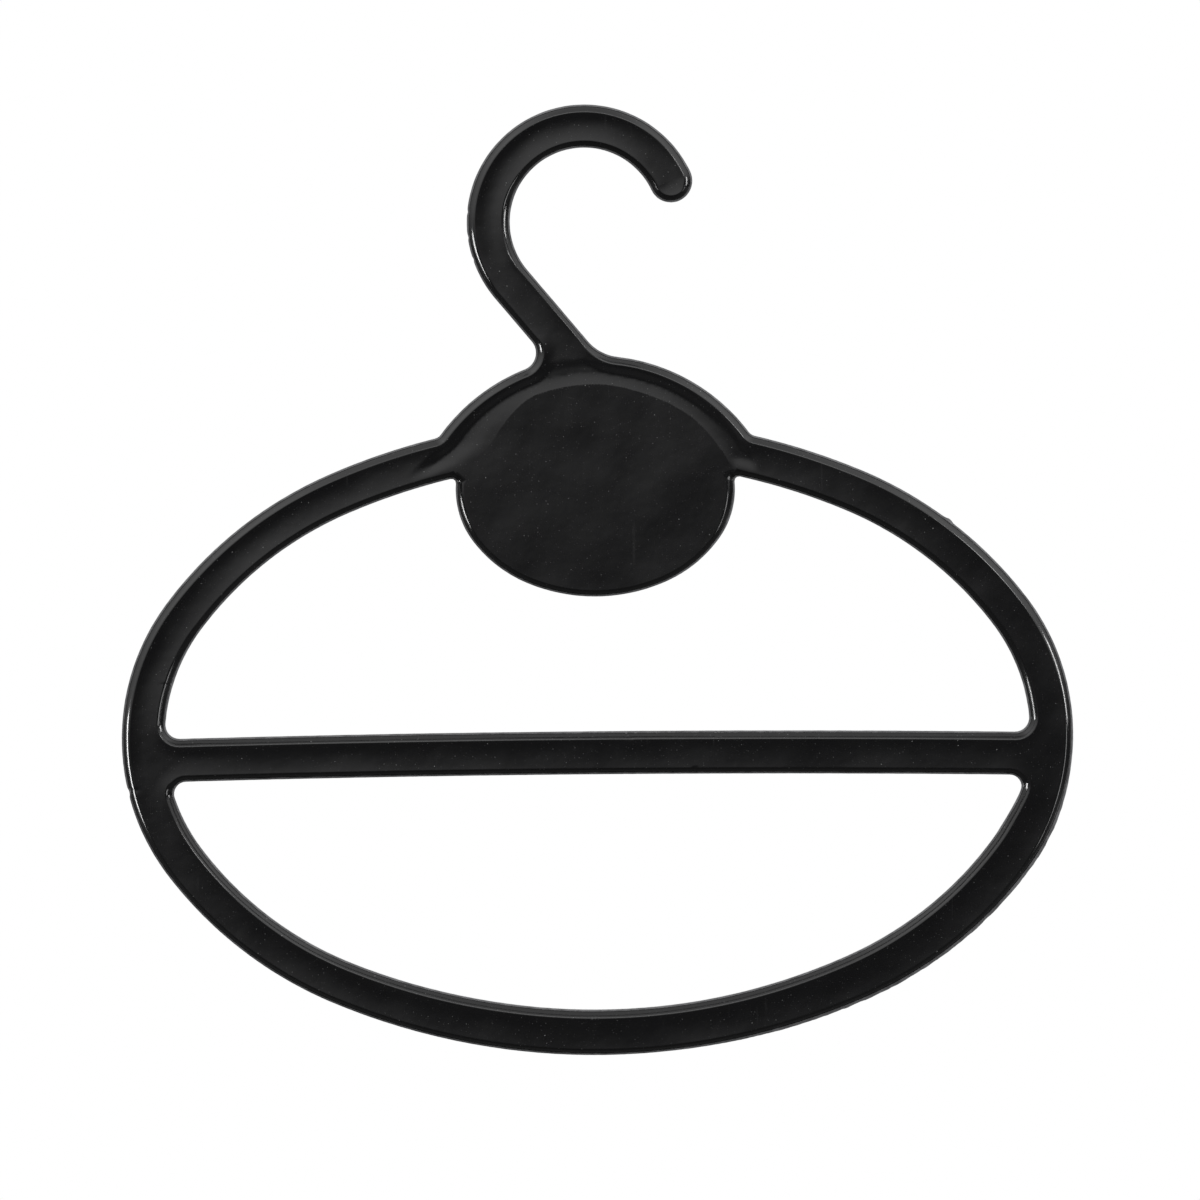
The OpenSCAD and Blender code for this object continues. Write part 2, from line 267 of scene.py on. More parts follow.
@dataclass(frozen=True)
class HangerPlan:
    """Sizes of the hanger's plan, and the members' boundaries that follow from them."""

    bar: Bar = Bar()
    ring: Oval = Oval(237.8, 159.2, 56.4)
    label: Oval = Oval(69.8, 53.6, 21.3)
    label_height: float = 61.8
    hood_width: float = 6.6
    shoulder_radius: float = 47.9
    crossbar_drop: float = 5.1
    rail_radius: float = 18.6
    rail_height: float = 128.65
    rail_offset: float = 2.2
    tip_angle: float = 24.9
    shank_slope: float = 50.1
    upper_corner_radius: float = 3.6
    lower_corner_radius: float = 3.0
    notch_radius: float = 1.1
    arm_corner_radius: float = 2.5
    root_left_radius: float = 4.4
    root_right_radius: float = 11.5
    joint_margin: float = 1.0

    @property
    def shoulder_centre(self) -> np.ndarray:
        """Centre of the shoulder's edge."""
        top = self.label_height + self.label.height / 2 + self.hood_width
        return np.array([0.0, top - self.shoulder_radius])

    @property
    def rail_centre(self) -> np.ndarray:
        """The rail's axis in the plan."""
        return np.array([-self.rail_offset, self.rail_height])

    @property
    def hook_radius(self) -> float:
        """Radius of the hook's middle line."""
        return self.rail_radius + self.bar.width / 2

    def on_shank(self, along: float, off: float) -> np.ndarray:
        """Returns a point by its way down the shank and its distance to the right."""
        down, right = polar(-self.shank_slope), polar(90.0 - self.shank_slope)
        return self.rail_centre - self.hook_radius * right + along * down + off * right

    def root(self, side: int) -> Span:
        """Returns how far down and off the shank the fillet at its root is centred.

        Args:
            side: -1 for the leaning side, 1 for the open side.
        """
        radius = self.root_left_radius if side < 0 else self.root_right_radius
        off = side * (self.bar.width / 2 + radius)
        g = self.on_shank(0.0, off) - self.shoulder_centre
        k = float(g @ polar(-self.shank_slope))
        return -k - math.sqrt(k * k - float(g @ g) + (self.shoulder_radius + radius) ** 2), off

    @property
    def shank_length(self) -> float:
        """Length of the straight shank that belongs to the hook."""
        return min(self.root(-1)[0], self.root(1)[0]) - self.joint_margin

    @property
    def label_end(self) -> np.ndarray:
        """Centre of the label plate's right end arc."""
        return self.label.arcs()[0][0] + np.array([0.0, self.label_height])

    @property
    def notch(self) -> np.ndarray:
        """Centre of the right notch between arm and label plate."""
        (top_c, top_r), r = self.ring.arcs()[2], self.notch_radius
        return meet(top_c, top_r - self.bar.width - r, self.label_end, self.label.end_radius + r)

    @property
    def notch_turn(self) -> float:
        """Angle at which the right notch touches the label plate's end arc."""
        return heading(self.label_end, self.notch)

    @property
    def arm_corner(self) -> np.ndarray:
        """Centre of the fillet between the right arm and the shoulder."""
        (top_c, top_r), r = self.ring.arcs()[2], self.arm_corner_radius
        return meet(top_c, top_r + r, self.shoulder_centre, self.shoulder_radius + r)

    def window_corner(self, y: float, radius: float) -> np.ndarray:
        """Returns the centre of a fillet of the right end's windows."""
        end_c, end_r = self.ring.arcs()[0]
        reach = end_r - self.bar.width - radius
        return np.array([end_c[0] + math.sqrt(reach * reach - y * y), y])

    @property
    def crossbar_edges(self) -> tuple[float, float]:
        """Heights of the crossbar's lower and upper edge."""
        return (-self.bar.width / 2 - self.crossbar_drop, self.bar.width / 2 - self.crossbar_drop)

    @property
    def corners(self) -> tuple[np.ndarray, np.ndarray]:
        """Centres of the right end's lower and upper window fillet."""
        low, high = self.crossbar_edges
        return (
            self.window_corner(low - self.lower_corner_radius, self.lower_corner_radius),
            self.window_corner(high + self.upper_corner_radius, self.upper_corner_radius),
        )

    @property
    def crossbar_half(self) -> float:
        """Half the length of the crossbar between its two joints."""
        return min(c[0] for c in self.corners) - self.joint_margin

    def hook(self) -> list[Curve]:
        """Walks round the hook, from the shank's joint up its inner side."""
        half, slope = self.bar.width / 2, self.shank_slope
        n, foot = self.rail_centre, self.shank_length
        tip = n + polar(self.tip_angle, self.hook_radius)
        back = 270.0 - slope
        return [
            line(self.on_shank(foot, half), self.on_shank(0.0, half)),
            arc(n, self.hook_radius - half, back, self.tip_angle),
            arc(tip, half, self.tip_angle + 180.0, self.tip_angle + 360.0),
            arc(n, self.hook_radius + half, self.tip_angle, back),
            line(self.on_shank(0.0, -half), self.on_shank(foot, -half)),
            line(self.on_shank(foot, -half), self.on_shank(foot, half), Edge.JOINT),
        ]

    def arm_root(self) -> list[Curve]:
        """Walks from the right notch round the right arm's root to the shoulder's edge."""
        top_c, top_r = self.ring.arcs()[2]
        inner, turn = top_r - self.bar.width, self.ring.turn_2
        n, corner, sc = self.notch, self.arm_corner, self.shoulder_centre
        return [
            hollow(n, self.notch_radius, heading(n, self.label_end), heading(top_c, n)),
            arc(top_c, inner, heading(top_c, n), turn),
            cut(top_c, turn, inner, top_r),
            arc(top_c, top_r, turn, heading(top_c, corner)),
            hollow(corner, self.arm_corner_radius, heading(corner, top_c), heading(corner, sc)),
        ]

    def shoulder(self) -> list[Curve]:
        """Walks round the shoulder, from the right notch over the top and back."""
        slope, half, foot = self.shank_slope, self.bar.width / 2, self.shank_length
        sc, sr = self.shoulder_centre, self.shoulder_radius
        (reach_l, off_l), (reach_r, off_r) = self.root(-1), self.root(1)
        left, right = self.on_shank(reach_l, off_l), self.on_shank(reach_r, off_r)
        corner = heading(sc, self.arm_corner)
        return [
            *self.arm_root(),
            arc(sc, sr, corner, heading(sc, right)),
            hollow(right, self.root_right_radius, heading(right, sc), -90.0 - slope),
            line(self.on_shank(reach_r, half), self.on_shank(foot, half)),
            line(self.on_shank(foot, half), self.on_shank(foot, -half), Edge.JOINT),
            line(self.on_shank(foot, -half), self.on_shank(reach_l, -half)),
            hollow(left, self.root_left_radius, 90.0 - slope, heading(left, sc)),
            arc(sc, sr, heading(sc, left), 180.0 - corner),
            *flipped(self.arm_root(), over_x=True),
            *self.label_top(outside=True),
        ]

    def label_walk(self) -> list[Curve]:
        """Walks once round the label plate's whole oval, from its right end."""
        (e, er), (s, sr), (t, tr) = self.label.arcs()
        one, two = self.label.turn_1, self.label.turn_2
        quarter = [arc(e, er, 0.0, one), arc(s, sr, one, two), arc(t, tr, two, 90.0)]
        upper = [*quarter, *flipped(quarter, over_x=True)]
        whole = [*upper, *flipped(upper, over_x=False)]
        return [replace(c, centre=(c.centre[0], c.centre[1] + self.label_height)) for c in whole]

    def label_top(self, outside: bool) -> list[Curve]:
        """Walks over the joint along the label plate's top, between the notches.

        Args:
            outside: Walk it as the shoulder's boundary, from left to right.
        """
        first, *rest, last = self.label_walk()[:6]
        first, last = replace(first, start=self.notch_turn), replace(last, end=last.end - self.notch_turn)
        walk = [first, *rest, last]
        if outside:
            walk = [replace(c, start=c.end, end=c.start) for c in reversed(walk)]
        return [replace(c, edge=Edge.JOINT) for c in walk]

    def label_plate(self) -> list[Curve]:
        """Walks round the label plate, from its left notch under it and back."""
        right, *_, left = self.label_walk()[:6]
        return [
            replace(left, start=180.0 - self.notch_turn),
            *self.label_walk()[6:],
            replace(right, end=self.notch_turn),
            *self.label_top(outside=False),
        ]

    def stretch(self, which: int, start: float, end: float) -> list[Curve]:
        """Walks round the stretch of one of the ring's arcs between two cuts."""
        c, r = self.ring.arcs()[which]
        inner = r - self.bar.width
        outside, back = arc(c, r, start, end), arc(c, inner, end, start)
        return [outside, cut(c, end, r, inner), back, cut(c, start, inner, r)]

    def end(self) -> list[Curve]:
        """Walks round the ring's right end with the crossbar's root."""
        c, r = self.ring.arcs()[0]
        turn, inner, half = self.ring.turn_1, r - self.bar.width, self.crossbar_half
        low, high = self.crossbar_edges
        lower, upper = self.corners
        return [
            arc(c, r, -turn, turn),
            cut(c, turn, r, inner),
            arc(c, inner, turn, heading(c, upper)),
            hollow(upper, self.upper_corner_radius, heading(c, upper), -90.0),
            line((upper[0], high), (half, high)),
            line((half, high), (half, low), Edge.JOINT),
            line((half, low), (lower[0], low)),
            hollow(lower, self.lower_corner_radius, 90.0, heading(c, lower)),
            arc(c, inner, heading(c, lower), -turn),
            cut(c, -turn, inner, r),
        ]

    def crossbar(self) -> list[Curve]:
        """Walks round the crossbar."""
        (low, high), half = self.crossbar_edges, self.crossbar_half
        a, b, c, d = (-half, low), (half, low), (half, high), (-half, high)
        return [line(a, b), line(b, c, Edge.JOINT), line(c, d), line(d, a, Edge.JOINT)]


# Relief


def smooth(low: float, high: float | np.ndarray, x: np.ndarray) -> np.ndarray:
    """Returns a smooth step from 0 at low to 1 at high."""
    t = np.clip((x - low) / (high - low), 0.0, 1.0)
    return t * t * (3.0 - 2.0 * t)


def gradient(f: Callable[[np.ndarray], np.ndarray], xy: np.ndarray, probe: float) -> np.ndarray:
    """Returns how fast a value over the plan grows along x and y."""
    steps = np.array([[probe, 0.0], [0.0, probe]])
    return np.stack([(f(xy + s) - f(xy - s)) / (2 * probe) for s in steps], axis=1)


def beyond(x: np.ndarray, y: np.ndarray, oval: Oval) -> np.ndarray:
    """Returns about how far each point lies outside an oval round the origin."""
    half_w, half_h = oval.width / 2, oval.height / 2
    level = np.maximum(np.hypot(x / half_w, y / half_h), 1e-6)
    steep = np.maximum(np.hypot(x / half_w**2, y / half_h**2), 1e-6)
    return (level - 1.0) * level / steep


@dataclass(frozen=True)
class Profile:
    """Section of a bar's face from its edge to its middle, drawn through its slopes.

    Attributes:
        bar: The bar's sizes.
        rim: Slope of the land at the very edge.
        rim_width: Width over which the land's edge is rounded.
        rim_drop: How far the very edge lies below the land.
        land: Slope of the land after that rounding, and at the bevel.
        foot: Slope of the bevel where it leaves the land.
        brow: Slope of the bevel where it meets the crest.
        crease: Half the width in which the land turns into the bevel.
        round_width: Width over which the crest is rounded.
        samples: How many heights the section is drawn with.
    """

    bar: Bar = Bar()
    rim: float = 2.0
    rim_width: float = 0.07
    rim_drop: float = 0.09
    land: Span = (0.12, 0.05)
    foot: float = 1.55
    brow: float = 0.85
    crease: float = 0.002
    round_width: float = 0.42
    samples: int = 2160

    def table(self) -> tuple[np.ndarray, np.ndarray]:
        """Returns distances from the edge and the face's height over them."""
        bar, middle = self.bar, self.bar.width / 2
        d = np.linspace(0.0, middle, self.samples)
        top, half, foot = bar.crest, self.round_width / 2, bar.land_width
        fall = -2.0 * bar.dish_depth / (middle - top)
        turns = [foot - self.crease, foot + self.crease, top - half, top, top + half]
        slopes = [self.rim, *self.land, self.foot, self.brow, 0.0, fall, 0.0]
        slope = np.interp(d, [0.0, self.rim_width, *turns, middle], slopes)
        rise = np.concatenate([[0.0], np.cumsum((slope[1:] + slope[:-1]) / 2 * np.diff(d))])
        on_bevel = np.clip((d - foot) / bar.bevel_width, 0.0, 1.0)
        edge = bar.land_thickness / 2 - self.rim_drop
        short = bar.thickness / 2 - edge - float(np.interp(top, d, rise))
        return d, edge + rise + short * on_bevel

    def bevel_only(self) -> tuple[np.ndarray, np.ndarray]:
        """Returns the same without the dish, for a flat face behind the bevel."""
        d, z = self.table()
        top = int(np.argmax(z))
        z[top:] = z[top]
        return d, z


@dataclass(frozen=True)
class Mark:
    """A small mark: its place and half size in the plan, and how much it does there."""

    place: Span
    size: Span
    amount: float

    def at(self, xy: np.ndarray) -> np.ndarray:
        """Returns how much the mark does at each point."""
        off = (xy - np.array(self.place)) / np.array(self.size)
        return self.amount * np.exp(-(off**2).sum(axis=1))

    def points(self) -> np.ndarray:
        """Returns points in three rings round the mark, so that the mesh shows it."""
        rings = [np.array([polar(45.0 * k + 20.0 * r, r) for k in range(8)]) for r in (0.4, 0.9, 1.5)]
        return np.array(self.place) + np.concatenate(rings) * np.array(self.size)


# Dents in the faces by their depth, and flaws of the edge by how far they stand out
DENTS = (
    Mark((-116.9, -12.4), (1.6, 0.5), 0.16),
    Mark((8.0, -1.0), (1.1, 0.7), 0.10),
    Mark((30.5, -0.7), (0.7, 0.5), 0.12),
    Mark((24.4, -9.3), (0.6, 0.5), 0.12),
    Mark((-1.5, -71.6), (1.1, 1.1), 0.03),
    Mark((-107.2, 14.0), (1.4, 0.3), 0.05),
)
FLAWS = (
    Mark((88.6, 53.6), (0.9, 0.9), 0.5),
    Mark((-118.0, -13.0), (3.0, 0.8), -0.35),
    Mark((-31.4, 125.2), (1.2, 0.45), -0.22),
    Mark((-30.9, 119.6), (1.2, 0.45), -0.30),
    Mark((-31.0, 131.4), (1.2, 0.45), -0.18),
)


@dataclass
class Relief:
    """Height of the moulding's face over its parting plane.

    Attributes:
        plan: Sizes of the moulding.
        outline: Its free edges.
        profile: Section of its bars.
        tight: How much narrower the bevels are that look down.
        looks_down: How far down an edge looks where its bevel turns narrow.
        shank_foot: Heights over which the bevel narrows at the shank's foot.
        shank_top: Heights over which it widens again.
        shank_side: How far up the shank's narrow edge looks.
        dish_share: Depth of the ring's dish as a share of the drawn one, what its left
            has more, and the hook's.
        leftwards: Way to the left over which the ring's dish deepens.
        over_ring: Heights over which the ring's dish turns into the hook's.
        face_gap: How far the label's face stays inside the plate's oval, and how much
            further on the right.
        rightwards: Way to the right over which that gap grows.
        over_notches: Heights over the label's middle where the gap opens.
        fall_width: Width over which the cove falls from the crest.
        rise_width: Width over which it rises to the label's face.
        spread: How much wider that rise is on the far left.
        far_left: Way to the left over which it spreads.
        crispness: Power by which the rise steepens towards the label's face.
        reach: How far the cove goes on beyond its rise.
        fade: Shares of that whole width between which the cove fades.
    """

    plan: HangerPlan
    outline: list[Curve]
    profile: Profile = Profile()
    tight: float = 0.5
    looks_down: Span = (0.2, 0.8)
    shank_foot: Span = (93.0, 101.0)
    shank_top: Span = (112.0, 124.0)
    shank_side: Span = (0.3, 0.6)
    dish_share: tuple[float, float, float] = (0.22, 0.24, 0.7)
    leftwards: Span = (0.0, 100.0)
    over_ring: Span = (60.0, 95.0)
    face_gap: Span = (0.6, 0.7)
    rightwards: Span = (0.0, 15.0)
    over_notches: Span = (2.0, 13.0)
    fall_width: float = 3.0
    rise_width: float = 3.0
    spread: float = 5.4
    far_left: Span = (14.0, 32.0)
    crispness: float = 1.4
    reach: float = 4.0
    fade: Span = (0.6, 1.0)

    def __post_init__(self) -> None:
        self.dished = self.profile.table()
        self.flat = self.profile.bevel_only()

    def depth_in(self, xy: np.ndarray) -> np.ndarray:
        """Returns each point's distance to the nearest free edge."""
        return self.nearest(xy)[0]

    def nearest(self, xy: np.ndarray) -> tuple[np.ndarray, np.ndarray]:
        """Returns each point's distance to the nearest free edge, and how far that is upwards."""
        near, up = np.full(len(xy), 1e9), np.zeros(len(xy))
        for c in self.outline:
            d = c.distance(xy)
            up = np.where(d < near, c.rise(xy), up)
            near = np.minimum(near, d)
        return near, up

    def off_label(self, xy: np.ndarray) -> np.ndarray:
        """Returns each point's signed distance outside the label plate's flat face.

        The flat face stops short of the plate's oval above the notches.
        """
        x, y = xy[:, 0], xy[:, 1] - self.plan.label_height
        gap, more = self.face_gap
        gap = gap + more * smooth(*self.rightwards, x) + self.spread * smooth(*self.far_left, -x)
        return beyond(x, y, self.plan.label) + gap * smooth(*self.over_notches, y)

    def narrow(self, d: np.ndarray) -> np.ndarray:
        """Returns where on the drawn section a distance from a narrow bevel's edge lies."""
        bar, far = self.plan.bar, 1e3
        here = [0.0, bar.land_width, bar.crest - self.tight, bar.width / 2, far]
        return np.interp(d, here, [0.0, bar.land_width, bar.crest, bar.width / 2, far])

    def dish(self, xy: np.ndarray) -> np.ndarray:
        """Returns how deep the dish is at each point, as a share of the drawn depth."""
        x, y = xy.T
        ring, left, hook = self.dish_share
        return np.maximum(ring + left * smooth(*self.leftwards, -x), hook * smooth(*self.over_ring, y))

    def cove(self, x: np.ndarray, d: np.ndarray, off: np.ndarray) -> tuple[np.ndarray, np.ndarray]:
        """Returns how deep the cove is at each point, and how much of it counts there.

        It rises crisply to the label's face on the right, and level at both ends on the left.

        Args:
            x: How far right of the middle each point is.
            d: Its distance to the outline, as on the drawn section.
            off: Its distance outside the label's face.
        """
        bar, left = self.plan.bar, smooth(*self.far_left, -x)
        wide = self.rise_width + self.spread * left
        level = 1.0 - np.clip(off / wide, 0.0, 1.0)
        crisp, soft = level**self.crispness, level**2 * (6.0 - 8.0 * level + 3.0 * level**2)
        sunk = smooth(0.0, self.fall_width, d - bar.crest) * (1.0 - crisp - (soft - crisp) * left)
        return bar.cove_depth * sunk, 1.0 - smooth(*self.fade, off / (wide + self.reach))

    def height(self, xy: np.ndarray) -> np.ndarray:
        """Returns the face's height at each point, with bevel, dish, cove and dents."""
        x, y = xy.T
        d, up = self.nearest(xy)
        shank = smooth(*self.shank_foot, y) * (1.0 - smooth(*self.shank_top, y))
        shank = shank * smooth(*self.shank_side, up)
        d = d + (self.narrow(d) - d) * np.maximum(smooth(*self.looks_down, -up), shank)
        flat, dished = np.interp(d, *self.flat), np.interp(d, *self.dished)
        dished = flat + (dished - flat) * self.dish(xy)
        deep, near = self.cove(x, d, self.off_label(xy))
        return dished + (flat - deep - dished) * near - sum(dent.at(xy) for dent in DENTS)

    def outward(self, xy: np.ndarray) -> np.ndarray:
        """Returns the direction from each point to the nearest free edge."""
        return -unit(gradient(self.depth_in, xy, probe=0.01))

    def slope(self, xy: np.ndarray) -> np.ndarray:
        """Returns the unnormalised outward normal of the front face at each point."""
        return np.column_stack([-gradient(self.height, xy, probe=0.002), np.ones(len(xy))])


# Mesh


def inside(polygon: np.ndarray, xy: np.ndarray) -> np.ndarray:
    """Returns which points lie inside a closed polygon."""
    a, b = polygon, np.roll(polygon, -1, axis=0)
    hit = np.zeros(len(xy), dtype=bool)
    for (x0, y0), (x1, y1) in zip(a, b):
        if y0 == y1:
            continue
        crosses = (y0 > xy[:, 1]) != (y1 > xy[:, 1])
        x = x0 + (xy[:, 1] - y0) / (y1 - y0) * (x1 - x0)
        hit ^= crosses & (xy[:, 0] < x)
    return hit


def to_row(plan: HangerPlan, xyz: np.ndarray) -> np.ndarray:
    """Turns plan millimetres into the row's metres, front face towards -Y."""
    x, y, z = xyz.T
    return np.stack([x + plan.rail_offset, -z, y - plan.rail_height], axis=1) / 1000.0


@dataclass(frozen=True)
class Ripple:
    """Flaws of the moulding's outline: uneven edges, flash, a bump, a nick and chips.

    Attributes:
        seed: Seed of the waves.
        closer: How fast the waves get shorter.
        per_degree: About how many millimetres of the ring one degree is.
        uneven: Height of the waves all round.
        flash_width: Width of the flash at the lower right.
        flash_wave: Height of the flash's waves.
        limits: Least and greatest width of the flash.
        outer: Half width and height of an oval just inside the ring's outer edge.
        rightwards: Way to the right over which the flash grows.
        downwards: Way down over which it grows.
    """

    seed: int = 7
    closer: float = 1.7
    per_degree: float = 1.6
    uneven: float = 0.045
    flash_width: float = 0.30
    flash_wave: float = 0.16
    limits: Span = (0.06, 1.0)
    outer: Span = (117.5, 78.2)
    rightwards: Span = (10.0, 60.0)
    downwards: Span = (5.0, 25.0)

    def wander(self, s: np.ndarray, waves: int, longest: float) -> np.ndarray:
        """Returns smooth noise from -1 to 1 along a length.

        Args:
            s: How far along it each point lies.
            waves: How many waves are added up.
            longest: Length of the longest one.
        """
        rng = np.random.default_rng(self.seed)
        total = np.zeros_like(s)
        for k in range(waves):
            wave = longest / (1.0 + self.closer * k)
            total += rng.uniform(0.4, 1.0) * np.sin(2 * math.pi * s / wave + rng.uniform(0, 6.28))
        return total / waves

    def flash(self, xy: np.ndarray) -> np.ndarray:
        """Returns how far the land stands out beyond the outline at each point."""
        x, y = xy.T
        s = np.degrees(np.arctan2(y, x)) * self.per_degree
        outer = np.hypot(x / self.outer[0], y / self.outer[1]) > 1.0
        waves = self.wander(s, waves=9, longest=60.0) + self.wander(s * 9.0, waves=7, longest=60.0)
        wavy = np.clip(self.flash_width + self.flash_wave * waves, *self.limits)
        wavy = wavy * outer * smooth(*self.rightwards, x) * smooth(*self.downwards, -y)
        even = self.uneven * self.wander(s * 3.0 + x, waves=8, longest=50.0)
        return even + wavy + sum(flaw.at(xy) for flaw in FLAWS)


@dataclass(frozen=True)
class Warp:
    """How the moulding departs from its plan: a bowed crossbar and a fuller lower bow.

    Attributes:
        rise: Height of the crossbar's bow.
        half: Half the length that it spans.
        beside: Distances from the crossbar's middle line over which it ends.
        fuller: How far the lower bow's inner side moves in, and how much more at the right.
        from_left: Way over which that starts from the left.
        to_right: Way over which it grows at the right.
        downwards: Way down over which it starts.
    """

    rise: float = 1.05
    half: float = 107.0
    beside: Span = (6.5, 15.0)
    fuller: Span = (0.6, 0.35)
    from_left: Span = (-90.0, -20.0)
    to_right: Span = (20.0, 80.0)
    downwards: Span = (11.0, 24.0)

    def up(self, plan: HangerPlan, xy: np.ndarray) -> np.ndarray:
        """Returns how far the crossbar's bow lifts each point."""
        x, y = xy.T
        near = 1.0 - smooth(*self.beside, np.abs(y + plan.crossbar_drop))
        return self.rise * np.clip(1.0 - (x / self.half) ** 2, 0.0, 1.0) * near

    def inwards(self, plan: HangerPlan, xy: np.ndarray) -> np.ndarray:
        """Returns how each point moves where the lower bow's inner side is fuller."""
        x, y = xy.T
        all_along, right = self.fuller
        amount = all_along * smooth(*self.from_left, x) + right * smooth(*self.to_right, x)
        deep = smooth(0.0, plan.bar.width, -beyond(x, y, plan.ring))
        out = unit(np.column_stack([x / plan.ring.width**2, y / plan.ring.height**2]))
        return -out * (amount * smooth(*self.downwards, -y) * deep)[:, None]


@dataclass(frozen=True)
class Rim:
    """A member's boundary: its points in order, and which of them start a free edge."""

    points: np.ndarray
    free: np.ndarray

    def sides(self) -> np.ndarray:
        """Returns the outward normal of each edge."""
        along = unit(np.roll(self.points, -1, axis=0) - self.points)
        return np.column_stack([along[:, 1], -along[:, 0]])

    def outward(self) -> np.ndarray:
        """Returns the outward direction at each point, from its free edges alone."""
        out = self.sides() * self.free[:, None]
        return unit(out + np.roll(out, 1, axis=0))


# Where rows of points run: on the land, along the head's joint, and over half the dish
LAND_ROW = 0.28
JOINT_ROWS = (0.15, 0.5, 1.0)
DISH_ROWS = (0.0, 0.12, 0.3, 0.52, 0.76, 1.0)


@dataclass(frozen=True)
class Member:
    """One member of the moulding, with the CAD node that it shows."""

    name: str
    boundary: list[Curve]
    on_head: bool = False

    def build(self, relief: Relief, ripple: Ripple) -> bpy.types.Object:
        """Meshes the member and puts it in place of its CAD node.

        Args:
            relief: Height of the moulding's faces.
            ripple: Flaws of its outline.

        Returns:
            The member's mesh object.
        """
        step = 0.8
        rim = self.rim(relief, step)
        xy = self.scatter(relief, rim.points, step)
        xy, tris = self.triangles(xy, len(rim.points))
        mesh = self.solid(relief, ripple, xy, tris, rim)
        obj = add(self.name + "_skin", mesh)
        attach(obj, "root")
        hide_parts(self.name)
        log.info("%s: %d faces", self.name, len(mesh.polygons))
        return obj

    def insets(self, relief: Relief) -> list[float]:
        """Returns the distances from the outline at which rows of points run."""
        bar = relief.plan.bar
        bevel = [bar.land_width + bar.bevel_width * k / 6 for k in range(7)]
        crest, half = bar.edge + bar.crest_width, bar.width / 2
        dish = [crest + (half - crest) * k for k in DISH_ROWS]
        return [relief.profile.rim_width, LAND_ROW, *bevel, *dish]

    def rim(self, relief: Relief, step: float) -> Rim:
        """Returns the boundary, with the same points on both sides of each cut."""
        rows: list[np.ndarray] = []
        free: list[bool] = []
        ways = [0.0, *self.insets(relief)]
        for c in self.boundary:
            if c.edge is Edge.JOINT and isinstance(c, Line):
                p, q = np.array(c.start), np.array(c.end)
                u = (q - p) / c.length()
                both = {round(w, 6) for w in ways} | {round(c.length() - w, 6) for w in ways}
                pts = np.array([p + u * w for w in sorted(both) if w < c.length() - 1e-6])
            else:
                pts = c.points(0.0, step)[:-1]
            rows.append(pts)
            free.extend([c.edge is Edge.FREE] * len(pts))
        return Rim(np.concatenate(rows), np.array(free))

    def scatter(self, relief: Relief, ring: np.ndarray, step: float) -> np.ndarray:
        """Returns the boundary's points followed by the ones inside."""
        clear = 0.03
        rows = []
        for m in self.insets(relief):
            for c in self.boundary:
                if c.edge is Edge.FREE:
                    p = c.points(m, step)
                    rows.append(p[relief.depth_in(p) > m - 1e-4])
        if self.on_head:
            rows.extend(self.head_points(relief, ring, step))
        rows.extend(dent.points() for dent in DENTS)
        xy = np.concatenate(rows)
        xy = xy[inside(ring, xy)]
        keep = np.ones(len(xy), dtype=bool)
        for p, q in zip(ring, np.roll(ring, -1, axis=0)):
            keep &= line(p, q).distance(xy) > clear
        xy = xy[keep]
        _, first = np.unique(np.round(xy, 2), axis=0, return_index=True)
        return np.concatenate([ring, xy[np.sort(first)]])

    def head_points(self, relief: Relief, ring: np.ndarray, step: float) -> list[np.ndarray]:
        """Returns points along the head's joint, in a grid, and beside the label's face.

        The grid keeps clear of both, and is thinned out well inside that face.
        """
        edge, thinning = relief.plan.bar.edge, 7
        off_bevel, off_face, behind_bevel, well_in, inside_face = 0.2, 0.3, 0.9, 3.0, 2.0
        joints = [c for c in self.boundary if c.edge is Edge.JOINT and isinstance(c, Arc)]
        rows = [c.points(m, step) for c in joints for m in JOINT_ROWS]
        low, high = ring.min(axis=0), ring.max(axis=0)
        gap = 0.7
        xs, ys = np.arange(low[0], high[0], gap), np.arange(low[1], high[1], gap)
        grid = np.stack(np.meshgrid(xs, ys), axis=-1).reshape(-1, 2)
        grid[:, 0] += gap / 2 * (np.round((grid[:, 1] - low[1]) / gap) % 2)
        deep, away = relief.depth_in(grid), relief.off_label(grid)
        sparse = (away < -inside_face) & (deep > edge + well_in) & (np.arange(len(grid)) % thinning > 0)
        grid = grid[~sparse & (deep > edge + behind_bevel) & (np.abs(away) > off_face)]
        rows = [p[relief.depth_in(p) > edge + off_bevel] for p in (*rows, self.crease(relief))]
        return [*rows[:-1], grid, rows[-1]]

    def crease(self, relief: Relief) -> np.ndarray:
        """Returns points close along both sides of the edge of the label's flat face."""
        beside, nearest, farthest, apart, halvings = 0.05, 5.0, 45.0, 1.3, 30
        middle = np.array([0.0, relief.plan.label_height])
        way = np.array([polar(turn) for turn in np.arange(0.0, 180.0, apart)])
        low, high = np.full(len(way), nearest), np.full(len(way), farthest)
        for _ in range(halvings):
            mid = (low + high) / 2
            out = relief.off_label(middle + way * mid[:, None]) > 0.0
            low, high = np.where(out, low, mid), np.where(out, mid, high)
        return np.concatenate([middle + way * (low + off)[:, None] for off in (-beside, beside)])

